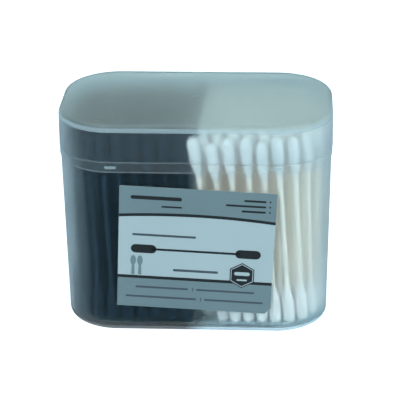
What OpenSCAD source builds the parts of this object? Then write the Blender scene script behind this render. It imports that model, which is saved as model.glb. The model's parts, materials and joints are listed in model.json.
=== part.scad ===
// Frosted box of cotton swabs with a lift-off lid and a dividing wall.
// Black swabs stand in the left half and white swabs in the right half.
// Millimetres. The origin is the middle of the underside, X runs across the front,
// -Y faces the front with its label, and +Z is up.

/* [Outside] */
// Width over the lower edge of the lid
box_w = 105; // [100:1:118]
// Depth over the lower edge of the lid
box_d = 60; // [56:1:70]
// Plan radius of the corners at the lower edge of the lid
corner_r = 21.5; // [20:0.25:24]
// Room between the highest swab and the lid
headroom = 4.25; // [3:0.05:12]

/* [Body] */
// Thickness of the floor
floor_t = 1.6; // [1.2:0.1:2.5]
// Height of the foot rim below the floor
foot_h = 0.8; // [0.4:0.1:1.5]
// Width of the foot rim
foot_w = 3; // [2:0.5:5]
// Radius of the lower outside edge
heel_r = 2; // [1:0.25:3]
// Inside radius where the wall meets the floor
root_r = 1.2; // [0.5:0.1:1.5]
// Draft of the outer wall, in degrees
body_draft = 0.6; // [0.3:0.1:0.9]
// Draft of the inner wall, in degrees
core_draft = 0.5; // [0.3:0.1:0.8]
// Height of the collar under the joint
collar_h = 3.2; // [2.4:0.2:5]
// How far the collar stands out from the wall below it
collar_rise = 0.35; // [0.2:0.05:0.6]
// How far the collar stands back from the edge of the lid
collar_set = 0.1; // [0.05:0.05:0.3]
// Height of the neck inside the lid
neck_h = 5; // [3:0.5:7]
// Thickness of the neck
neck_t = 0.9; // [0.7:0.1:1.3]
// Thickness of the dividing wall
divider_t = 1.1; // [0.8:0.1:1.8]
// How far the dividing wall ends below the joint between body and lid
divider_drop = 10.6; // [6:0.2:20]

/* [Collar slots] */
// Distance of each slot from the middle
slot_x = 31; // [20:1:34]
// Length of a slot
slot_w = 4.4; // [3:0.2:6]
// Height of a slot
slot_h = 1.2; // [0.8:0.1:1.6]
// Depth of a slot
slot_t = 0.4; // [0.2:0.05:0.7]

/* [Lid] */
// Height of the lid
lid_h = 15.4; // [13:0.2:19]
// Thickness of the skirt
lid_wall = 1.0; // [0.8:0.1:1.3]
// Thickness of the top
lid_top_t = 1.5; // [1:0.1:2.5]
// Draft of the skirt, in degrees
lid_draft = 0.7; // [0.3:0.1:1]
// Radius of the top edge
lid_edge_r = 2.4; // [1.5:0.1:3]
// Clearance between neck and skirt
fit_gap = 0.2; // [0.15:0.05:0.3]
// Diameter of the gate mark
gate_d = 3.2; // [2:0.2:5]
// Depth of the gate mark
gate_t = 0.25; // [0.1:0.05:0.4]
// Diameter of the stub in the gate mark
stub_d = 1.1; // [0.6:0.1:1.6]

/* [Label] */
// Width of the label
label_w = 59.5; // [50:0.5:61]
// Height of the label's lower edge above the table
label_foot = 9.9; // [7:0.1:14]
// Distance from the label's upper edge to the collar
label_gap = 7.1; // [4:0.1:12]
// Thickness of the label
label_t = 0.15; // [0.1:0.05:0.3]
// Sideways place of the middle of the label
label_x = 0.7; // [-1:0.1:1]
// Turn of the label, clockwise in degrees
label_turn = 2.9; // [0:0.1:4]
// Thickness of the print
ink_t = 0.08; // [0.05:0.01:0.1]
// Height of the header, from the label's upper edge to the ends of the arched line
header_h = 13; // [9:0.1:16]
// Height of the footer, from the label's lower edge to the middle of the lower line
footer_h = 13; // [9:0.1:16]
// Rise of the arched upper line
arch_rise = 1.4; // [0:0.1:3]
// Thickness of both lines
rule_t = 1.2; // [0.6:0.1:2]
// Height of the six-sided badge
badge_h = 10.8; // [8:0.2:12]
// Sideways place of the badge on the label
badge_x = 18.1; // [10:0.1:22]
// Height of the badge's middle above the lower line
badge_lift = 3.1; // [-1:0.1:5]

/* [Swabs] */
// Mean length of a swab
swab_l = 77.2; // [72:0.1:80]
// Largest difference from the mean length
swab_spread = 1.5; // [0:0.1:2]
// Diameter of the paper stick
stick_d = 2.2; // [1.8:0.1:2.6]
// Diameter of the cotton tip
tip_d = 4.9; // [4.4:0.1:5]
// Length of the cotton tip
tip_l = 16; // [12:0.5:18]
// Length of the full part of the tip, round end included
belly_l = 9; // [6:0.5:10]
// Cotton beyond the end of the stick
crown_t = 1.8; // [1:0.1:2.5]
// Thickness of the cotton where it ends on the stick
cotton_t = 0.15; // [0.1:0.05:0.3]
// Gap between stick and cotton
wrap_gap = 0.02; // [0.01:0.01:0.04]
// Gap between a swab and the wall or floor
seat_gap = 0.15; // [0.1:0.05:0.3]
// Smallest gap between two swabs
swab_gap = 0.25; // [0.2:0.05:0.4]
// Spacing along the wall in the first layer, against the closest possible
loose_1 = 1; // [1:0.01:1.2]
// The same in the second layer
loose_2 = 1.08; // [1.02:0.01:1.3]
// The same in the third layer
loose_3 = 1.02; // [1:0.01:1.2]
// How far the foot of the first front swab stands from the dividing wall
first_foot = 7.3; // [4:0.1:10]
// How far the top of the last swab in a wall layer leans back along the wall
lean_back = 2; // [1:0.5:4]

/* [Hidden] */
COLOURS = ["black", "white"];
WALL_LAYERS = 3;
LAYERS = WALL_LAYERS + 1;

$fn = 64;
arc_steps = 6;
eps = 0.01;

run_x = box_w - 2 * corner_r;
run_y = box_d - 2 * corner_r;
floor_z = foot_h + floor_t;
swab_foot = floor_z + seat_gap;
box_h = swab_foot + swab_l + swab_spread + headroom + lid_top_t;
joint_z = box_h - lid_h;
collar_z = joint_z - collar_h;
neck_z = joint_z + neck_h;
divider_z = joint_z - divider_drop;
edge_ease = 0.3;
collar_ease = 0.25;
foot_bevel = 0.4;

// Radii of the section, measured from the centre of a plan corner, at the height z
function wall_outer(z) = corner_r - collar_set - collar_rise - (collar_z - z) * tan(body_draft);
function wall_inner(z) = corner_r - lid_wall - fit_gap - neck_t - (joint_z - z) * tan(core_draft);
function neck_outer(z) = corner_r - lid_wall - fit_gap - (z - joint_z) * tan(lid_draft);
function skirt_outer(z) = corner_r - (z - joint_z) * tan(lid_draft);
function skirt_inner(z) = skirt_outer(z) - lid_wall;

function bend(c, r, from, to) =
    [for (i = [0:arc_steps]) let (a = from + (to - from) * i / arc_steps) c + r * [cos(a), sin(a)]];

// Carries a section once round the plan: four straight walls and four corners
module around() {
    for (i = [0:3]) {
        reach = i % 2 == 0 ? run_x / 2 : run_y / 2;
        run = i % 2 == 0 ? run_y : run_x;
        rotate(90 * i) {
            translate([reach, 0, 0]) rotate([90, 0, 0]) linear_extrude(run, center = true) children();
            translate([reach, run / 2, 0]) rotate_extrude(angle = 90) children();
        }
    }
}

module middle_plate(z, t) {
    translate([-run_x / 2, -run_y / 2, z]) cube([run_x, run_y, t]);
}

// Body: foot rim, floor, drafted wall, collar and neck in one section, and the dividing wall
module body_section() {
    foot_in = wall_outer(0) - heel_r - foot_w;
    polygon(concat(
        [[0, foot_h], [foot_in - foot_bevel, foot_h], [foot_in, 0]],
        bend([wall_outer(heel_r) - heel_r, heel_r], heel_r, -90, 0),
        [[wall_outer(collar_z), collar_z]],
        [[wall_outer(collar_z) + collar_rise, collar_z + collar_ease]],
        bend([corner_r - collar_set - edge_ease, joint_z - edge_ease], edge_ease, 0, 90),
        [[neck_outer(joint_z), joint_z]],
        bend([neck_outer(neck_z) - edge_ease, neck_z - edge_ease], edge_ease, 0, 90),
        [[wall_inner(neck_z), neck_z]],
        bend([wall_inner(floor_z + root_r) - root_r, floor_z + root_r], root_r, 0, -90),
        [[0, floor_z]]
    ));
}

module divider() {
    half = divider_t / 2;
    half_top = half - (divider_z - floor_z) * tan(core_draft) / 3;
    wall_middle = box_d / 2 - corner_r + (wall_outer(floor_z) + wall_inner(floor_z)) / 2;
    rotate([90, 0, 0]) linear_extrude(2 * wall_middle, center = true)
        polygon([[-half, foot_h + floor_t / 2], [half, foot_h + floor_t / 2],
            [half_top, divider_z], [-half_top, divider_z]]);
}

module collar_slots() {
    slot_z = collar_z + (collar_h - slot_h) / 2;
    collar_y = box_d / 2 - collar_set;
    for (side = [-1, 1])
        translate([side * slot_x - slot_w / 2, -collar_y - eps, slot_z]) cube([slot_w, slot_t + eps, slot_h]);
}

module body() {
    color([0.72, 0.83, 0.85, 0.45]) difference() {
        union() {
            around() body_section();
            middle_plate(foot_h, floor_t);
            divider();
        }
        collar_slots();
    }
}

// Lid: top plate and skirt in one section, with the gate mark in the middle of the top
module lid_section() {
    inner_r = max(lid_edge_r - lid_wall, edge_ease);
    shelf_z = box_h - lid_top_t;
    polygon(concat(
        [[0, shelf_z]],
        bend([skirt_inner(shelf_z) - inner_r, shelf_z - inner_r], inner_r, 90, 0),
        [[skirt_inner(joint_z), joint_z]],
        bend([skirt_outer(joint_z) - edge_ease, joint_z + edge_ease], edge_ease, -90, 0),
        bend([skirt_outer(box_h) - lid_edge_r, box_h - lid_edge_r], lid_edge_r, 0, 90),
        [[0, box_h]]
    ));
}

module gate_mark() {
    translate([0, 0, box_h - gate_t]) difference() {
        cylinder(d = gate_d, h = gate_t + eps);
        cylinder(d = stub_d, h = gate_t);
    }
}

module lid() {
    color([0.78, 0.88, 0.9, 0.4]) difference() {
        union() {
            around() lid_section();
            middle_plate(box_h - lid_top_t, lid_top_t);
        }
        gate_mark();
    }
}

// Label, set square on the drafted front wall and turned a little
label_h = collar_z - label_gap - label_foot;
label_z = label_foot + label_h / 2;
front_y = box_d / 2 - corner_r + wall_outer(label_z);
label_cut = [2, 2.6];
print_gap = 0.02;
panel_z = footer_h - label_h / 2;
panel_top = label_h / 2 - header_h;
badge_z = panel_z + badge_lift;
figure_at = [-22.6, panel_z + 5.1];
figure_h = 8.2;
figure_gap = 0.5;
figure_tip = [2.1, 4.2];
figure_stick = [0.8, 1.3];
arch_r = (pow(label_w / 2, 2) + pow(arch_rise, 2)) / (2 * max(arch_rise, eps));

module on_label(depth) {
    translate([label_x, -front_y, label_z])
        rotate([90 + body_draft, 0, 0])
            rotate(-label_turn)
                translate([0, 0, depth])
                    children();
}

module label_outline() {
    x = label_w / 2;
    z = label_h / 2;
    polygon([[-x, -z], [x - label_cut.x, -z], [x, -z + label_cut.y], [x, z], [-x, z]]);
}

// The arched upper line at its lower edge, from left to right
function arch(rise, steps = 16) = [
    for (i = [0:steps]) let (x = label_w * (i / steps - 0.5))
        [x, rise + sqrt(arch_r * arch_r - x * x) - arch_r + arch_rise]
];

module upper_rule() {
    low = arch(panel_top);
    high = arch(panel_top + rule_t);
    polygon(concat(low, [for (i = [len(high) - 1:-1:0]) high[i]]));
}

module lower_rule() {
    translate([-label_w / 2, panel_z - rule_t / 2]) square([label_w, rule_t]);
}

module header_field() {
    x = label_w / 2;
    low = arch(panel_top + rule_t + print_gap);
    polygon(concat(low, [[x, label_h / 2], [-x, label_h / 2]]));
}

module footer_field() {
    intersection() {
        label_outline();
        translate([-label_w / 2, -label_h / 2]) square([label_w, label_h / 2 + panel_z - rule_t / 2 - print_gap]);
    }
}

module badge(h) {
    translate([badge_x, badge_z]) rotate(90) circle(d = h, $fn = 6);
}

// Two upright swabs side by side as a small figure, cut off at their lower ends
module figure() {
    tip_middle = (figure_h - figure_tip.y) / 2;
    foot = -figure_h / 2;
    translate(figure_at) for (side = [-1, 1]) translate([side * (figure_tip.x + figure_gap) / 2, 0]) {
        translate([0, tip_middle]) scale([figure_tip.x / figure_tip.y, 1]) circle(d = figure_tip.y, $fn = 24);
        polygon([[-figure_stick.y / 2, foot], [figure_stick.y / 2, foot],
            [figure_stick.x / 2, tip_middle], [-figure_stick.x / 2, tip_middle]]);
    }
}

module label_sheet() {
    color([0.72, 0.81, 0.85]) on_label(0) linear_extrude(label_t) label_outline();
}

module label_bands() {
    color([0.5, 0.6, 0.65]) on_label(label_t) linear_extrude(ink_t) {
        header_field();
        difference() {
            footer_field();
            badge(badge_h + 2 * print_gap);
        }
        figure();
    }
}

module label_marks() {
    color([0.06, 0.07, 0.08]) on_label(label_t) linear_extrude(ink_t) {
        upper_rule();
        lower_rule();
        badge(badge_h);
    }
}

// Swab places. A layer follows the wall from the front end of the dividing wall, round both
// corners of its half, to the rear end. What is left in the middle is filled by staggered rows.
tip_r = tip_d / 2;
stick_r = stick_d / 2;
swab_pitch = tip_d + swab_gap;
wall_inset = corner_r - wall_inner(floor_z) + seat_gap + tip_r;
first_x = divider_t / 2 + seat_gap + tip_r;

function reach_x(k) = box_w / 2 - wall_inset - (k - 1) * swab_pitch;
function reach_y(k) = box_d / 2 - wall_inset - (k - 1) * swab_pitch;
function turn_r(k) = max(corner_r - wall_inset - (k - 1) * swab_pitch, 0);
function front_run(k) = reach_x(k) - turn_r(k) - first_x;
function side_run(k) = 2 * (reach_y(k) - turn_r(k));
function turn_run(k) = turn_r(k) * PI / 2;
function layer_run(k) = 2 * front_run(k) + 2 * turn_run(k) + side_run(k);

// Point of layer k at the distance s from its front end
function along(k, s) =
    let (
        r = turn_r(k), cx = reach_x(k) - r, cy = reach_y(k) - r,
        s1 = front_run(k), s2 = s1 + turn_run(k), s3 = s2 + side_run(k), s4 = s3 + turn_run(k)
    )
    s < s1 ? [first_x + s, -cy - r] :
    s < s2 ? let (a = (s - s1) / r * 180 / PI) [cx + r * sin(a), -cy - r * cos(a)] :
    s < s3 ? [cx + r, s - s2 - cy] :
    s < s4 ? let (a = (s - s3) / r * 180 / PI) [cx + r * cos(a), cy + r * sin(a)] :
    [cx - (s - s4), cy + r];

// Shortest run along layer k that keeps two swabs apart, also round a corner
function tight_run(k) =
    let (r = turn_r(k))
    r > swab_pitch / sqrt(2) ? 2 * r * asin(swab_pitch / 2 / r) * PI / 180 : swab_pitch * sqrt(2);

// Radius of a swab at the distance d from its end
function swab_radius(d) =
    d > tip_l ? stick_r :
    d > belly_l ? taper(d) :
    tip_r;
function taper(d) =
    let (thin = stick_r + wrap_gap + cotton_t, u = (d - belly_l) / (tip_l - belly_l))
    thin + (tip_r - thin) * (1 + cos(180 * u)) / 2;

// The first front swab leans over the top of the dividing wall, just clear of its edge
function first_top() =
    let (
        shortest = swab_l - swab_spread,
        foot_x = first_x + first_foot,
        f = (divider_z - swab_foot) / sqrt(pow(shortest, 2) - pow(foot_x, 2)),
        clear_x = divider_t / 2 + 2 * seat_gap + swab_radius(shortest * (1 - f))
    )
    min((clear_x - (1 - f) * foot_x) / f - first_x, 0);

loose = [loose_1, loose_2, loose_3];
// Powers by which the shift of the first swab fades out among the feet and among the tops
foot_fade = 2;
top_fade = 6;
wander_part = 0.45;
core_ease = 0.3;
FOOT_SEED = 10;
TOP_SEED = 20;
LENGTH_SEED = 3403;

// The top of the last black swab keeps clear of the first white one, and the other way round
lean_end = max(lean_back, swab_pitch - 2 * first_x - first_top());

// Places along a layer: even, but for a shift at its start that fades out along the layer, and
// each a little astray
function spaced(k, count, start, end, fade, seed) =
    let (astray = rands(-1, 1, count, seed), pitch = end / (count - 1))
    [for (i = [0:count - 1])
        let (
            left = 1 - i / (count - 1),
            squeeze = max(start, 0) * fade * pow(left, fade - 1) / (count - 1),
            wander = left == 1 || left == 0 ? 0 : wander_part * max(pitch - squeeze - tight_run(k), 0)
        )
        pitch * i + start * pow(left, fade) + wander * astray[i]];

// Each swab is [foot point, top point, length]
function wall_swabs(k) =
    let (
        start_foot = k == 1 ? first_foot : 0,
        start_top = k == 1 ? first_top() : 0,
        end_foot = layer_run(k),
        end_top = end_foot - lean_end,
        shortest_run = end_foot - max(foot_fade * start_foot, lean_end),
        count = floor(shortest_run / (tight_run(k) * loose[k - 1])) + 1,
        feet = spaced(k, count, start_foot, end_foot, foot_fade, FOOT_SEED + k),
        tops = spaced(k, count, start_top, end_top, top_fade, TOP_SEED + k),
        lengths = rands(-swab_spread, swab_spread, count, LENGTH_SEED + k)
    )
    [for (i = [0:count - 1]) [along(k, feet[i]), along(k, tops[i]), swab_l + lengths[i]]];

function core_swabs() =
    let (
        k = LAYERS, ease = core_ease * turn_r(k) + seat_gap,
        span_x = reach_x(k) - ease - first_x, span_y = 2 * (reach_y(k) - ease),
        columns = floor(span_x / swab_pitch) + 1, step_x = span_x / (columns - 1),
        rows = floor(span_y / sqrt(pow(swab_pitch, 2) - pow(step_x / 2, 2))) + 1,
        step_y = span_y / (rows - 1),
        lengths = rands(-swab_spread, swab_spread, columns * rows, LENGTH_SEED)
    )
    [for (j = [0:rows - 1]) for (i = [0:columns - 1 - j % 2])
        let (p = [first_x + step_x * (i + (j % 2) / 2), step_y * j - span_y / 2])
        [p, p, swab_l + lengths[j * columns + i]]];

function swabs(k) = k > WALL_LAYERS ? core_swabs() : wall_swabs(k);

// Stands a swab on the floor between its foot point and its top point
module stand(foot, top, length) {
    offset_xy = top - foot;
    translate([foot.x, foot.y, swab_foot])
        rotate([0, asin(norm(offset_xy) / length), atan2(offset_xy.y, offset_xy.x)])
            children();
}

module stick(length) {
    translate([0, 0, crown_t]) cylinder(d = stick_d, h = length - 2 * crown_t);
}

// Wound cotton: a round end, a full belly and a long taper, closed over the end of the stick
module tip_section() {
    taper_steps = 3;
    difference() {
        union() {
            intersection() {
                translate([0, tip_r]) circle(r = tip_r);
                square([tip_r, tip_r]);
            }
            polygon(concat(
                [[0, tip_r], [tip_r, tip_r]],
                [for (i = [0:taper_steps]) let (d = belly_l + (tip_l - belly_l) * i / taper_steps) [taper(d), d]],
                [[0, tip_l]]
            ));
        }
        translate([0, crown_t]) square([stick_r + wrap_gap, tip_l]);
    }
}

module tip() {
    rotate_extrude($fn = 32) tip_section();
}

// The black swabs stand as the white ones do, half a turn round the middle of the box
module half_of(colour) {
    rotate(colour == "black" ? 180 : 0) children();
}

function shade(colour, dark, light) = colour == "black" ? dark : light;

module sticks(colour, k) {
    color(shade(colour, [0.1, 0.1, 0.11], [0.93, 0.93, 0.9]))
        half_of(colour) for (s = swabs(k)) stand(s[0], s[1], s[2]) stick(s[2]);
}

module tips(colour, k) {
    color(shade(colour, [0.06, 0.06, 0.07], [0.97, 0.97, 0.96]))
        half_of(colour) for (s = swabs(k)) stand(s[0], s[1], s[2]) {
            tip();
            translate([0, 0, s[2]]) rotate([180, 0, 0]) tip();
        }
}

body();
lid();
label_sheet();
label_bands();
label_marks();
for (colour = COLOURS, k = [1:LAYERS]) {
    sticks(colour, k);
    tips(colour, k);
}
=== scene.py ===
import json
import math
import random

import bmesh
import bpy
from mathutils import Matrix, Vector, noise

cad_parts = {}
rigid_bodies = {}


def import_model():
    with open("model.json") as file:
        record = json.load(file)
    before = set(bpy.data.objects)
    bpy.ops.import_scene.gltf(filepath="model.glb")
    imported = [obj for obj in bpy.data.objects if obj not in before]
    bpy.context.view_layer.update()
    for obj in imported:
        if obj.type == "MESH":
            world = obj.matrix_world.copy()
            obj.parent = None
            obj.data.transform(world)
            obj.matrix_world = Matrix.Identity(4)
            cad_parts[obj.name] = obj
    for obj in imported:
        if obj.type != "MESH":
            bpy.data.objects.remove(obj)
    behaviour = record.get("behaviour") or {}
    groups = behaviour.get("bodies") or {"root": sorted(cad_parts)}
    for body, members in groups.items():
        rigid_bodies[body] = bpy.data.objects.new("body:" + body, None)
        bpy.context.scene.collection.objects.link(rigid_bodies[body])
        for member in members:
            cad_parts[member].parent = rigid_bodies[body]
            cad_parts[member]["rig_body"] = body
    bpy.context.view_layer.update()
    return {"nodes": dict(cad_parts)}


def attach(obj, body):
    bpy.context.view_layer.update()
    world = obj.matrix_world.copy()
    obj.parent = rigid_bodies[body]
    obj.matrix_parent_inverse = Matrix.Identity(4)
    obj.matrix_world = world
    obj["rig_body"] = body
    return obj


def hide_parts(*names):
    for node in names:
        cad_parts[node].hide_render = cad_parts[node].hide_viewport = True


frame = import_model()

MM = 0.001
BLACK = (0.0, 0.0, 0.0, 1.0)
WHITE = (1.0, 1.0, 1.0, 1.0)


# Finishes: help with nodes

class Tree:
    """Short calls to add and link nodes in one node tree. Each input takes a plain value or an output."""

    def __init__(self, tree):
        self.tree = tree

    def put(self, socket, value):
        if isinstance(value, bpy.types.NodeSocket):
            self.tree.links.new(value, socket)
        else:
            socket.default_value = value

    def add(self, kind, inputs=None, **settings):
        node = self.tree.nodes.new(kind)
        for key, value in settings.items():
            setattr(node, key, value)
        for key, value in (inputs or {}).items():
            self.put(node.inputs[key], value)
        return node

    def group(self, group, **inputs):
        return self.add("ShaderNodeGroup", inputs, node_tree=group).outputs

    def noise(self, place, scale, detail=2.0, rough=0.5):
        inputs = {"Vector": place, "Scale": scale, "Detail": detail, "Roughness": rough}
        return self.add("ShaderNodeTexNoise", inputs).outputs["Fac"]

    def math(self, operation, *operands):
        return self.add("ShaderNodeMath", dict(enumerate(operands)), operation=operation).outputs[0]

    def ramp(self, value, low, high, to_low=0.0, to_high=1.0):
        """A value from low to high, turned into one from to_low to to_high."""
        inputs = {"Value": value, "From Min": low, "From Max": high, "To Min": to_low, "To Max": to_high}
        return self.add("ShaderNodeMapRange", inputs).outputs["Result"]

    def mix(self, factor, first, second):
        """A mix of two colours, whose sockets are those numbered 6 and 7."""
        return self.add("ShaderNodeMix", {0: factor, 6: first, 7: second}, data_type="RGBA").outputs[2]

    def stretched(self, place, scale):
        return self.add("ShaderNodeMapping", {"Vector": place, "Scale": scale}).outputs["Vector"]

    def bump(self, height, distance, strength=1.0):
        inputs = {"Height": height, "Distance": distance, "Strength": strength}
        return self.add("ShaderNodeBump", inputs).outputs["Normal"]


def new_group(name, inputs, outputs):
    """A shader node group with a vector input, number inputs with their defaults and number outputs. Returns
    the group, its tree and its inputs as seen from inside."""
    group = bpy.data.node_groups.new(name, "ShaderNodeTree")
    group.interface.new_socket(name="Vector", in_out="INPUT", socket_type="NodeSocketVector")
    for key, value in inputs.items():
        item = group.interface.new_socket(name=key, in_out="INPUT", socket_type="NodeSocketFloat")
        item.default_value = value
    for key in outputs:
        group.interface.new_socket(name=key, in_out="OUTPUT", socket_type="NodeSocketFloat")
    tree = Tree(group)
    return group, tree, tree.add("NodeGroupInput").outputs


def blotch_group():
    """Soft uneven patches, between Low and High."""
    group, tree, given = new_group("Blotches", {"Scale": 60.0, "Low": 0.0, "High": 1.0}, ["Value"])
    patches = tree.noise(given["Vector"], given["Scale"], detail=4.0, rough=0.55)
    tree.add("NodeGroupOutput", {"Value": tree.ramp(patches, 0.3, 0.7, given["Low"], given["High"])})
    return group


def scuff_group():
    """Mask of sparse fine scratches, all slanting one way."""
    group, tree, given = new_group("Scuffs", {"Amount": 0.5}, ["Mask"])
    slanting = {"Vector": given["Vector"], "Rotation": (0.7, 0.9, 0.4), "Scale": (1.0, 1.0, 20.0)}
    slanted = tree.add("ShaderNodeMapping", slanting, vector_type="TEXTURE").outputs["Vector"]
    lines = tree.ramp(tree.noise(slanted, 1400.0, detail=0.0), 0.66, 0.74)
    where = tree.ramp(tree.noise(given["Vector"], 45.0, detail=1.0), 0.52, 0.66)
    mask = tree.math("MULTIPLY", tree.math("MULTIPLY", lines, where), given["Amount"])
    tree.add("NodeGroupOutput", {"Mask": mask})
    return group


def fibre_group():
    """Wound fibres: a height and a mask of thin and thick places."""
    clump_size, clump_height = 0.3, 0.8
    group, tree, given = new_group("Fibres", {"Along": 1.0, "Scale": 900.0}, ["Height", "Thickness"])
    parts = tree.add("ShaderNodeSeparateXYZ", {"Vector": given["Vector"]}).outputs
    drawn = tree.add("ShaderNodeCombineXYZ", {
        "X": parts["X"], "Y": parts["Y"], "Z": tree.math("MULTIPLY", parts["Z"], given["Along"])}).outputs[0]
    strands = tree.noise(drawn, given["Scale"], detail=4.0, rough=0.65)
    clumps = tree.noise(given["Vector"], tree.math("MULTIPLY", given["Scale"], clump_size))
    tree.add("NodeGroupOutput", {
        "Height": tree.math("ADD", strands, tree.math("MULTIPLY", clumps, clump_height)),
        "Thickness": tree.ramp(clumps, 0.35, 0.65)})
    return group


BLOTCHES = blotch_group()
SCUFFS = scuff_group()
FIBRES = fibre_group()


def new_finish(name, inputs):
    """A material, its node tree, the inputs of its Principled shader and the object's own coordinates."""
    material = bpy.data.materials.new(name)
    material.use_nodes = True
    shader = material.node_tree.nodes["Principled BSDF"]
    for key, value in inputs.items():
        shader.inputs[key].default_value = value
    tree = Tree(material.node_tree)
    return material, tree, shader.inputs, tree.add("ShaderNodeTexCoord").outputs["Object"]


# Finishes: materials

HAZE_SCALE = 38.0
SCUFF_AMOUNT = 0.5
SCUFF_COLOUR = (0.93, 0.97, 0.98, 1.0)
# Width over which the painted shade beside the black swabs fades in
PAINTED_SHADE_BLEND = 4.0 * MM
# How far the roughness strays. Plastic whose roughness crosses 0.27 renders with flakes, so none does
FROST_SPREAD = 0.012
FROST_SPREAD_SCALE = 50.0


def frosted(name, clear, hazy, rough, milk=0.0, cover=0.88, sheen=0.25, painted_shade_share=1.0):
    """Frosted translucent plastic with uneven haze. Milk is the part of it that is opaque, and
    painted_shade_share is how much of its colour is left in the half with the black swabs: painted shade, as
    little light reaches it from them."""
    material, tree, shader, place = new_finish(name, {
        "IOR": 1.25, "Transmission Weight": 1.0 - milk, "Alpha": cover,
        "Specular Tint": (0.4, 0.78, 1.0, 1.0),
        "Sheen Weight": sheen, "Sheen Roughness": 0.4, "Sheen Tint": (0.65, 0.88, 1.0, 1.0)})
    haze = tree.group(BLOTCHES, Vector=place, Scale=HAZE_SCALE)["Value"]
    scuffs = tree.group(SCUFFS, Vector=place, Amount=SCUFF_AMOUNT)["Mask"]
    colour = tree.mix(scuffs, tree.mix(haze, clear, hazy), SCUFF_COLOUR)
    # Painted shade: in the half with the black swabs the colour is darkened towards black
    if painted_shade_share < 1.0:
        across = tree.add("ShaderNodeSeparateXYZ", {"Vector": place}).outputs["X"]
        painted_shade_ramp = tree.ramp(across, -PAINTED_SHADE_BLEND, PAINTED_SHADE_BLEND, painted_shade_share, 1.0)
        colour = tree.mix(painted_shade_ramp, BLACK, colour)
    spread = tree.group(
        BLOTCHES, Vector=place, Scale=FROST_SPREAD_SCALE, Low=-FROST_SPREAD, High=FROST_SPREAD)["Value"]
    tree.put(shader["Base Color"], colour)
    tree.put(shader["Roughness"], tree.math("ADD", spread, rough))
    return material


def cotton(name, thin, thick, glow=0.0):
    """Wound cotton: fibres round the tip, thin and thick places. The glow stands for the light that white
    swabs pass on to each other more often than the render follows it."""
    material, tree, shader, place = new_finish(name, {
        "Roughness": 0.95, "Specular IOR Level": 0.15,
        "Sheen Weight": 0.35, "Sheen Roughness": 0.6, "Sheen Tint": thick,
        "Emission Strength": glow, "Emission Color": thick})
    fibres = tree.group(FIBRES, Vector=place, Along=2.4, Scale=1100.0)
    tree.put(shader["Base Color"], tree.mix(fibres["Thickness"], thin, thick))
    tree.put(shader["Normal"], tree.bump(fibres["Height"], 0.12 * MM))
    return material


def rolled_paper(name, dark, light, glow=0.0):
    """Tightly rolled paper: fine streaks along the stick, and the same glow as cotton."""
    streak_share, patch_share = 0.6, 0.4
    material, tree, shader, place = new_finish(name, {
        "Roughness": 0.8, "Specular IOR Level": 0.12,
        "Emission Strength": glow, "Emission Color": light})
    streaks = tree.noise(tree.stretched(place, (1.0, 1.0, 0.06)), 1800.0, detail=3.0, rough=0.6)
    patches = tree.group(BLOTCHES, Vector=place, Scale=140.0)["Value"]
    tone = tree.math("MULTIPLY_ADD", streaks, streak_share, tree.math("MULTIPLY", patches, patch_share))
    tree.put(shader["Base Color"], tree.mix(tone, dark, light))
    tree.put(shader["Normal"], tree.bump(streaks, 0.03 * MM, 0.5))
    return material


def label_stock(name, dark, light, rough):
    """Smooth coated paper, or ink on it, with a faint fibre and uneven gloss."""
    patch_share, fibre_share, gloss_spread = 0.7, 0.3, 0.06
    material, tree, shader, place = new_finish(name, {"Specular IOR Level": 0.4})
    patches = tree.group(BLOTCHES, Vector=place, Scale=26.0)["Value"]
    fibre = tree.noise(tree.stretched(place, (1.0, 1.0, 2.0)), 1500.0, detail=3.0)
    tone = tree.math("MULTIPLY_ADD", fibre, fibre_share, tree.math("MULTIPLY", patches, patch_share))
    gloss = tree.group(
        BLOTCHES, Vector=place, Scale=60.0, Low=rough - gloss_spread, High=rough + gloss_spread)["Value"]
    tree.put(shader["Base Color"], tree.mix(tone, dark, light))
    tree.put(shader["Roughness"], gloss)
    tree.put(shader["Normal"], tree.bump(fibre, 0.01 * MM, 0.4))
    return material


# Pairs of colours between which the haze of the plastic changes
CLEAR = (0.90, 0.97, 0.975, 1.0), (0.94, 0.985, 0.99, 1.0)
CLEAREST = (0.96, 0.99, 0.99, 1.0), (0.97, 0.99, 0.99, 1.0)
# A darker pair, for the painted shade on the lid's top plate
GREENISH = (0.62, 0.725, 0.71, 1.0), (0.66, 0.755, 0.74, 1.0)
COOL = (0.835, 0.915, 0.94, 1.0), (0.865, 0.935, 0.96, 1.0)
DULL = (0.82, 0.92, 0.94, 1.0), (0.86, 0.94, 0.96, 1.0)
MILKY = (0.50, 0.64, 0.68, 1.0), (0.55, 0.68, 0.72, 1.0)
BLUISH = (0.70, 0.91, 1.0, 1.0), (0.76, 0.94, 1.0, 1.0)

FROSTED_BODY = frosted("Frosted body", *CLEAR, 0.31)
FROSTED_COLLAR = frosted("Frosted collar", *DULL, 0.31, milk=0.065)
FROSTED_NECK = frosted("Frosted neck", *CLEAREST, 0.2, cover=0.15, sheen=0.0)
# The thick base is milky; in the half with the black swabs its colour is darkened as painted shade
FROSTED_BASE = frosted("Frosted base", *BLUISH, 0.32, milk=0.95, cover=0.7, painted_shade_share=0.14)
# Painted light: milky bands on the lid's rounded edge stand for light carried in through the top plate's
# edge, and in the collar's slots for the highlight on their ledges
FROSTED_EDGE_LIGHT = frosted("Frosted edge light", *MILKY, 0.35, milk=0.6)
# Painted highlight: thin milkier bands along the lower edges of the lid and the collar stand for the light
# lines these edges catch
FROSTED_SEAM_HIGHLIGHT = frosted("Frosted seam highlight", *DULL, 0.35, milk=0.18)
FROSTED_LID = frosted("Frosted lid", *COOL, 0.4, milk=0.02, sheen=0.26)
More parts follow.
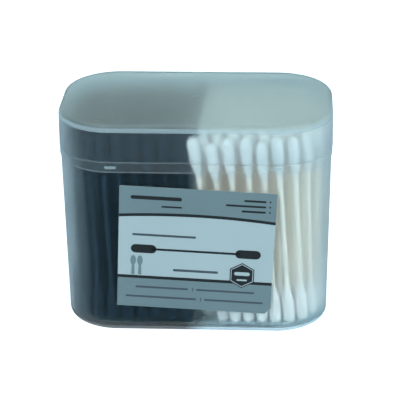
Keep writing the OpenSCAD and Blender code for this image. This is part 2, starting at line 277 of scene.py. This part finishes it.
# The lid's top plate is rougher than the rest of the lid, and its darker greenish colour is painted shade on
# the top
FROSTED_TOP = frosted("Frosted lid top", *GREENISH, 0.45, sheen=0.0)
COTTON = {
    "black": cotton("Black cotton", (0.007, 0.015, 0.024, 1.0), (0.015, 0.028, 0.043, 1.0)),
    "white": cotton("White cotton", (0.70, 0.73, 0.73, 1.0), (0.78, 0.80, 0.80, 1.0), glow=0.07),
}
STICKS = {
    "black": rolled_paper("Black stick", (0.010, 0.020, 0.033, 1.0), (0.020, 0.037, 0.055, 1.0)),
    "white": rolled_paper("White stick", (0.71, 0.70, 0.64, 1.0), (0.77, 0.75, 0.69, 1.0), glow=0.11),
}
LABEL_PAPER = label_stock("Label paper", (0.42, 0.53, 0.56, 1.0), (0.465, 0.58, 0.61, 1.0), 0.45)
GREY_INK = label_stock("Grey ink", (0.155, 0.23, 0.255, 1.0), (0.19, 0.275, 0.30, 1.0), 0.4)
BLACK_INK = label_stock("Black ink", (0.005, 0.007, 0.008, 1.0), (0.012, 0.014, 0.016, 1.0), 0.38)
SOFT_INK = label_stock("Soft ink", (0.055, 0.075, 0.09, 1.0), (0.075, 0.10, 0.12, 1.0), 0.42)


# Meshes

def piece_from(bm, name, material, body, sharp=None):
    """Finishes a bmesh as a piece that rides on a body. Edges above sharp, in degrees, stay sharp."""
    mesh = bpy.data.meshes.new(name)
    bm.to_mesh(mesh)
    bm.free()
    for face in mesh.polygons:
        face.use_smooth = True
    if sharp is not None:
        mesh.set_sharp_from_angle(angle=math.radians(sharp))
    mesh.materials.append(material)
    piece = bpy.data.objects.new(name, mesh)
    bpy.context.scene.collection.objects.link(piece)
    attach(piece, body)
    return piece


TOUCHING, TOO_SHORT = 0.001 * MM, 0.0005 * MM


def merged(node):
    """A CAD node's mesh as a bmesh, with its loose triangles joined."""
    bm = bmesh.new()
    bm.from_mesh(frame["nodes"][node].data)
    bmesh.ops.remove_doubles(bm, verts=bm.verts, dist=TOUCHING)
    bmesh.ops.dissolve_degenerate(bm, edges=bm.edges, dist=TOO_SHORT)
    return bm


def unique(items):
    """The items in order, each once."""
    return list(dict.fromkeys(items))


def linked(start):
    """All vertices that edges join to one vertex, with that one first."""
    found, known, queue = [start], {start}, [start]
    while queue:
        for edge in queue.pop().link_edges:
            for vert in edge.verts:
                if vert not in known:
                    known.add(vert)
                    found.append(vert)
                    queue.append(vert)
    return found


# Mouldings: heights and places on them in mm

STRAIGHT_X = 31.0      # half the length of the straight front wall
BASE_Z = 2.6           # top of the milky base
COLLAR_Z = 68.3
COLLAR_LINE = (67.7, 68.3)
JOINT_Z = 71.6         # where the neck begins
NECK_Z = JOINT_Z + 0.1
LID_LINE = (71.9, 72.35)
EDGE_Z = 84.0          # where the rounded edge of the lid begins
SLOT_FRONT_Y = -29.3   # both slots lie in front of this
SLOT_X, SLOT_HALF = 31.0, 2.3
SLOT_Z, SLOT_HALF_H = 70.0, 0.65


def outward(middle, normal):
    """How far a face of the box looks straight out from the middle, from -1 to 1."""
    straight = Vector((max(abs(middle.x) - STRAIGHT_X, 0.0) * math.copysign(1, middle.x), middle.y, 0))
    return normal.dot(straight.normalized())


def everywhere(middle, normal):
    return True


def on_collar(middle, normal):
    return COLLAR_Z < middle.z < JOINT_Z and outward(middle, normal) > 0.5


def on_neck(middle, normal):
    return middle.z > NECK_Z


def on_base(middle, normal):
    return middle.z < BASE_Z


# The faces of the slots take a painted highlight
def in_slot(middle, normal):
    """Whether a face lies in one of the two slots of the collar."""
    across = abs(abs(middle.x) - SLOT_X)
    return middle.y < SLOT_FRONT_Y and across < SLOT_HALF and abs(middle.z - SLOT_Z) < SLOT_HALF_H


# The band along the collar's lower edge, which takes a painted highlight
def on_collar_line(middle, normal):
    return COLLAR_LINE[0] < middle.z < COLLAR_LINE[1] and outward(middle, normal) > 0.0


def on_lid_top(middle, normal):
    return middle.z > EDGE_Z and abs(normal.z) > 0.5


# The rounded edge of the lid takes painted light, for the light carried in through the top plate's edge
def on_lid_edge(middle, normal):
    return middle.z > EDGE_Z and outward(middle, normal) > 0.85


# The band along the lid's lower edge, which takes a painted highlight
def on_lid_line(middle, normal):
    return LID_LINE[0] < middle.z < LID_LINE[1] and outward(middle, normal) > 0.5


def moulding(node, name, heights, finishes):
    """The moulding of a CAD node with true smooth curves. Its faces are split at the heights, and each takes
    the last finish whose test it passes."""
    bm = merged(node)
    for z in heights:
        bmesh.ops.bisect_plane(
            bm, geom=[*bm.verts, *bm.edges, *bm.faces], dist=TOUCHING, plane_co=(0, 0, z * MM),
            plane_no=(0, 0, 1))
    bm.normal_update()
    for face in bm.faces:
        middle = face.calc_center_median() / MM
        for index, (material, belongs) in enumerate(finishes):
            if belongs(middle, face.normal):
                face.material_index = index
    body = frame["nodes"][node]["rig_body"]
    piece = piece_from(bm, name, finishes[0][0], body, sharp=28.0)
    for material, belongs in finishes[1:]:
        piece.data.materials.append(material)
    weighted = piece.modifiers.new("Flat faces stay flat", "WEIGHTED_NORMAL")
    weighted.keep_sharp = True
    weighted.weight = 100  # only the area of a face counts
    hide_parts(node)


moulding("body", "Body_moulding", COLLAR_LINE, [
    (FROSTED_BODY, everywhere), (FROSTED_COLLAR, on_collar), (FROSTED_NECK, on_neck),
    (FROSTED_BASE, on_base), (FROSTED_EDGE_LIGHT, in_slot), (FROSTED_SEAM_HIGHLIGHT, on_collar_line)])
moulding("lid", "Lid_moulding", (EDGE_Z, *LID_LINE), [
    (FROSTED_LID, everywhere), (FROSTED_TOP, on_lid_top), (FROSTED_EDGE_LIGHT, on_lid_edge),
    (FROSTED_SEAM_HIGHLIGHT, on_lid_line)])


# Swabs

COLOURS = ("black", "white")
LAYERS = range(1, 5)
SIDES = 12
STICK_RADIUS = 1.1 * MM
TIP_RADIUS = 2.44 * MM
TIP_LENGTH = 16.0 * MM
THINNEST, SHORTEST = 0.93, 0.92
CROWN = 1.8 * MM       # cotton past the end of the stick
# Distance from the end of the tip and radius there, as parts of the tip's length and radius
TIP_SHAPE = ((0.012, 0.34), (0.04, 0.66), (0.085, 0.9), (0.15, 1.0), (0.56, 1.0),
             (0.67, 0.93), (0.79, 0.75), (0.9, 0.59), (1.0, 0.51))
BUMPS_PER_M = 420.0
BUMP_HEIGHT, HIGHEST_BUMP = 0.16 * MM, 0.06 * MM
SEED_RANGE = 50


def swab_places(node):
    """End points of each stick of a CAD node, lower end first."""
    bm = merged(node)
    known, places = set(), []
    for start in bm.verts:
        if start in known:
            continue
        stick = linked(start)
        known.update(stick)
        middle_z = sum(v.co.z for v in stick) / len(stick)
        ends = [v.co for v in stick if v.co.z < middle_z], [v.co for v in stick if v.co.z >= middle_z]
        places.append(tuple(sum(end, Vector()) / len(end) for end in ends))
    bm.free()
    return sorted(places, key=lambda ends: (round(ends[0].x, 5), round(ends[0].y, 5)))


def stand_between(start, end):
    """Turns +Z to run from start to end."""
    return Matrix.Translation(start) @ (end - start).to_track_quat("Z", "Y").to_matrix().to_4x4()


def add_stick(bm, start, end):
    length = (end - start).length
    bmesh.ops.create_cone(
        bm, cap_ends=True, segments=SIDES, radius1=STICK_RADIUS, radius2=STICK_RADIUS, depth=length,
        matrix=stand_between(start, end) @ Matrix.Translation((0, 0, length / 2)))


def add_tip(bm, end, inward, dice):
    """Wound cotton round one end: a profile spun about the stick, then made a little uneven."""
    radius = TIP_RADIUS * dice.uniform(THINNEST, 1.0)
    length = TIP_LENGTH * dice.uniform(SHORTEST, 1.0)
    profile = [bm.verts.new((0, 0, 0))]
    profile += [bm.verts.new((radius * out, 0, length * along)) for along, out in TIP_SHAPE]
    profile.append(bm.verts.new((0, 0, length)))
    edges = [bm.edges.new(pair) for pair in zip(profile, profile[1:])]
    bmesh.ops.spin(
        bm, geom=profile + edges, cent=(0, 0, 0), axis=(0, 0, 1), angle=math.tau, steps=SIDES, use_merge=True)
    verts = linked(next(v for v in profile if v.is_valid))
    bmesh.ops.remove_doubles(bm, verts=verts, dist=2 * TOUCHING)
    verts = [v for v in verts if v.is_valid]
    seed = Vector((dice.uniform(0, SEED_RANGE), dice.uniform(0, SEED_RANGE), dice.uniform(0, SEED_RANGE)))
    for vert in verts:
        from_axis = Vector((vert.co.x, vert.co.y, 0))
        if from_axis.length > STICK_RADIUS / 2:
            bump = noise.noise(vert.co * BUMPS_PER_M + seed) * BUMP_HEIGHT
            vert.co += from_axis.normalized() * min(bump, HIGHEST_BUMP)
    bmesh.ops.recalc_face_normals(bm, faces=unique(f for v in verts for f in v.link_faces))
    turn = stand_between(end, end + inward) @ Matrix.Rotation(dice.uniform(0, math.tau), 4, "Z")
    bmesh.ops.transform(bm, matrix=turn, verts=verts)


def swab_layer(colour, layer):
    dice = random.Random(f"{colour} {layer}")
    sticks, tips = bmesh.new(), bmesh.new()
    for bottom, top in swab_places(f"{colour}_sticks_{layer}"):
        rising = (top - bottom).normalized()
        add_stick(sticks, bottom, top)
        add_tip(tips, bottom - rising * CROWN, rising, dice)
        add_tip(tips, top + rising * CROWN, -rising, dice)
    name = colour.capitalize()
    piece = piece_from(
        sticks, f"{name}_sticks_{layer}_paper", STICKS[colour], "box", sharp=40.0)
    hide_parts(f"{colour}_sticks_{layer}")
    piece = piece_from(tips, f"{name}_tips_{layer}_cotton", COTTON[colour], "box")
    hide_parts(f"{colour}_tips_{layer}")


for swab_colour in COLOURS:
    for swab_row in LAYERS:
        swab_layer(swab_colour, swab_row)


# Label: bars and rings in mm from its middle, with the height above the wall of the surface they lie on

LABEL_AT = Vector((0.7, -29.2065, 35.6)) * MM
LABEL_LEAN, LABEL_TURN = math.radians(90.6), math.radians(-2.9)
LABEL_PLACE = (Matrix.Translation(LABEL_AT) @ Matrix.Rotation(LABEL_LEAN, 4, "X")
               @ Matrix.Rotation(LABEL_TURN, 4, "Z"))
PAPER_TOP = 0.15
INK_TOP = 0.23
INK = 0.04
ROUND, SQUARE = 0.49, 0.0

PRINTED = (("label_sheet", LABEL_PAPER), ("label_bands", GREY_INK), ("label_marks", BLACK_INK))

for printed, finish in PRINTED:
    frame["nodes"][printed].data.materials.clear()
    frame["nodes"][printed].data.materials.append(finish)


def add_bar(bm, u, v, width, height, base, corner=ROUND):
    """A printed bar: middle, size and the surface it lies on. Corner is the radius of its corners as a part
    of its smaller side."""
    verts = bmesh.ops.create_cube(bm, size=1.0)["verts"]
    bmesh.ops.scale(bm, vec=(width, height, INK * 2), verts=verts)
    if corner:
        upright = [e for e in unique(e for x in verts for e in x.link_edges)
                   if (e.verts[0].co.xy - e.verts[1].co.xy).length < 1e-6]
        rounded = bmesh.ops.bevel(
            bm, geom=upright, offset=corner * min(width, height), affect="EDGES", segments=4, profile=0.5,
            material=-1)
        verts = unique([x for x in verts if x.is_valid] + [x for f in rounded["faces"] for x in f.verts])
    bmesh.ops.translate(bm, vec=(u, v, base), verts=verts)


def add_ring(bm, u, v, outer, inner, base):
    """A thin six-sided ring: middle, radii at its corners and the surface it lies on."""
    corners = [math.tau * i / 6 for i in range(6)]
    section = ((outer, base - INK), (outer, base + INK), (inner, base + INK), (inner, base - INK))
    loops = [[bm.verts.new((u + r * math.sin(a), v + r * math.cos(a), z)) for a in corners]
             for r, z in section]
    for first, second in zip(loops, loops[1:] + loops[:1]):
        for i in range(6):
            bm.faces.new((first[i - 1], first[i], second[i], second[i - 1]))


def label_piece(name, finish, bars, rings=()):
    bm = bmesh.new()
    for bar in bars:
        add_bar(bm, *bar)
    for ring in rings:
        add_ring(bm, *ring)
    bmesh.ops.scale(bm, vec=(MM, MM, MM), verts=bm.verts)
    bmesh.ops.transform(bm, matrix=LABEL_PLACE, verts=bm.verts)
    bmesh.ops.recalc_face_normals(bm, faces=bm.faces)
    piece_from(bm, name, finish, "box", sharp=30.0)


# A large drawn swab and plain bars stand where the lettering would be
label_piece("Label_swab_drawing", BLACK_INK, [
    (0.0, -0.5, 34.0, 0.9, PAPER_TOP, SQUARE),
    (-20.0, -0.5, 9.8, 3.6, PAPER_TOP),
    (20.0, -0.5, 9.8, 3.6, PAPER_TOP)])
label_piece("Label_header_bars", BLACK_INK, [
    (-15.7, 21.2, 19.4, 1.5, INK_TOP),
    (-9.8, 17.8, 7.8, 0.7, INK_TOP),
    (21.6, 22.2, 8.4, 0.8, INK_TOP), (27.3, 22.2, 0.7, 0.7, INK_TOP),
    (18.2, 20.0, 15.2, 0.8, INK_TOP), (27.3, 20.0, 0.7, 0.7, INK_TOP),
    (21.2, 17.8, 9.2, 0.8, INK_TOP), (27.3, 17.8, 0.7, 0.7, INK_TOP)])
label_piece("Label_panel_bars", SOFT_INK, [
    (-12.3, 5.5, 24.4, 0.9, PAPER_TOP),
    (0.2, -9.0, 17.4, 1.0, PAPER_TOP)])
label_piece("Label_footer_bars", SOFT_INK, [
    (-12.6, -17.0, 20.4, 0.8, INK_TOP), (-0.6, -17.0, 0.3, 1.7, INK_TOP, SQUARE),
    (12.0, -17.0, 22.4, 0.8, INK_TOP),
    (-12.8, -21.2, 27.4, 0.8, INK_TOP), (2.6, -21.2, 0.3, 1.7, INK_TOP, SQUARE),
    (15.4, -21.2, 22.8, 0.8, INK_TOP)])
label_piece("Label_badge_bars", LABEL_PAPER, [
    (18.1, -8.9, 6.0, 1.5, INK_TOP),
    (18.1, -11.6, 4.0, 0.7, INK_TOP)],
    rings=[(18.1, -9.6, 4.95, 4.65, INK_TOP)])


# Stage

AIM = Vector((0, 0, 0.04))
FLOOR_HALF = 4.0
FLOOR_Z = -0.02 * MM
FLOOR_COLOUR = (0.56, 0.74, 0.86, 1.0)
FLOOR_GLOW = 0.9
STUDIO_COLOUR = (0.78, 0.93, 0.96, 1.0)
# Brightness near the horizon and the zenith, and what rays through the plastic get on top of it
NEAR_HORIZON, NEAR_ZENITH = 0.1, 0.9
STUDIO_LIGHT = (0.82, 0.26)
LIGHT_THROUGH_PLASTIC = (1.3, 0.4)


def area_light(name, place, size, power):
    lamp = bpy.data.lights.new(name, "AREA")
    lamp.shape = "RECTANGLE"
    lamp.size, lamp.size_y = size
    lamp.energy = power
    obj = bpy.data.objects.new(name, lamp)
    obj.location = place
    obj.rotation_euler = (AIM - Vector(place)).to_track_quat("-Z", "Y").to_euler()
    bpy.context.scene.collection.objects.link(obj)


def make_floor():
    """A pale floor, brightened where the camera sees it straight."""
    material, tree, shader, _ = new_finish("Pale floor", {
        "Roughness": 0.9, "Base Color": FLOOR_COLOUR, "Emission Color": WHITE})
    seen = tree.add("ShaderNodeLightPath").outputs["Is Camera Ray"]
    tree.put(shader["Emission Strength"], tree.math("MULTIPLY", seen, FLOOR_GLOW))
    bm = bmesh.new()
    bmesh.ops.create_grid(bm, x_segments=8, y_segments=8, size=FLOOR_HALF)
    bmesh.ops.translate(bm, vec=(0, 0, FLOOR_Z), verts=bm.verts)
    mesh = bpy.data.meshes.new("Floor")
    bm.to_mesh(mesh)
    bm.free()
    mesh.materials.append(material)
    floor = bpy.data.objects.new("Floor", mesh)
    bpy.context.scene.collection.objects.link(floor)


def make_world():
    """A cool studio that is brighter near the horizon, and more so through the plastic. The camera sees it
    as plain white."""
    world = bpy.data.worlds.new("Studio")
    world.use_nodes = True
    bpy.context.scene.world = world
    tree = Tree(world.node_tree)
    path = tree.add("ShaderNodeLightPath").outputs
    direction = tree.add("ShaderNodeTexCoord").outputs["Generated"]
    height = tree.add("ShaderNodeSeparateXYZ", {"Vector": direction}).outputs["Z"]
    studio = tree.ramp(height, NEAR_HORIZON, NEAR_ZENITH, *STUDIO_LIGHT)
    extra = tree.ramp(height, NEAR_HORIZON, NEAR_ZENITH, *LIGHT_THROUGH_PLASTIC)
    studio = tree.math("ADD", studio, tree.math("MULTIPLY", path["Is Transmission Ray"], extra))
    background = world.node_tree.nodes["Background"].inputs
    tree.put(background["Color"], tree.mix(path["Is Camera Ray"], STUDIO_COLOUR, WHITE))
    tree.put(background["Strength"], tree.math("MAXIMUM", studio, path["Is Camera Ray"]))


make_floor()
make_world()
area_light("Key", (-0.3, -0.6, 0.7), (0.7, 0.6), 4.0)
area_light("Fill", (0.75, -0.4, 0.4), (0.5, 0.5), 2.0)
area_light("Overhead", (0.0, 0.05, 0.9), (0.6, 0.6), 0.5)


# Camera, fitted to the photo. OBJECT_AT is where the target lies in the image, in pixels

ELEVATION, YAW, ROLL = (math.radians(a) for a in (25.14, -3.11, -0.6))
DISTANCE = 641.4 * MM
PIXELS_PER_M = 2521.0
IMAGE = 416
OBJECT_AT = (198.054, 202.924)
TARGET = Vector((0, 0, 42 * MM))
SENSOR = 36.0

forward = Vector((
    math.sin(YAW) * math.cos(ELEVATION), math.cos(YAW) * math.cos(ELEVATION), -math.sin(ELEVATION)))
level = Vector((math.cos(YAW), -math.sin(YAW), 0))
rise = level.cross(forward)
right = level * math.cos(ROLL) + rise * math.sin(ROLL)
up = rise * math.cos(ROLL) - level * math.sin(ROLL)
beside = (OBJECT_AT[0] - IMAGE / 2) / PIXELS_PER_M
below = (OBJECT_AT[1] - IMAGE / 2) / PIXELS_PER_M

camera_data = bpy.data.cameras.new("Camera")
camera_data.sensor_width = SENSOR
camera_data.lens = PIXELS_PER_M * DISTANCE / IMAGE * SENSOR
camera = bpy.data.objects.new("Camera", camera_data)
turned = Matrix((right, up, -forward)).transposed().to_4x4()
camera.matrix_world = Matrix.Translation(TARGET - forward * DISTANCE - right * beside + up * below) @ turned
bpy.context.scene.collection.objects.link(camera)
bpy.context.scene.camera = camera
bpy.context.scene.view_settings.view_transform = "Standard"
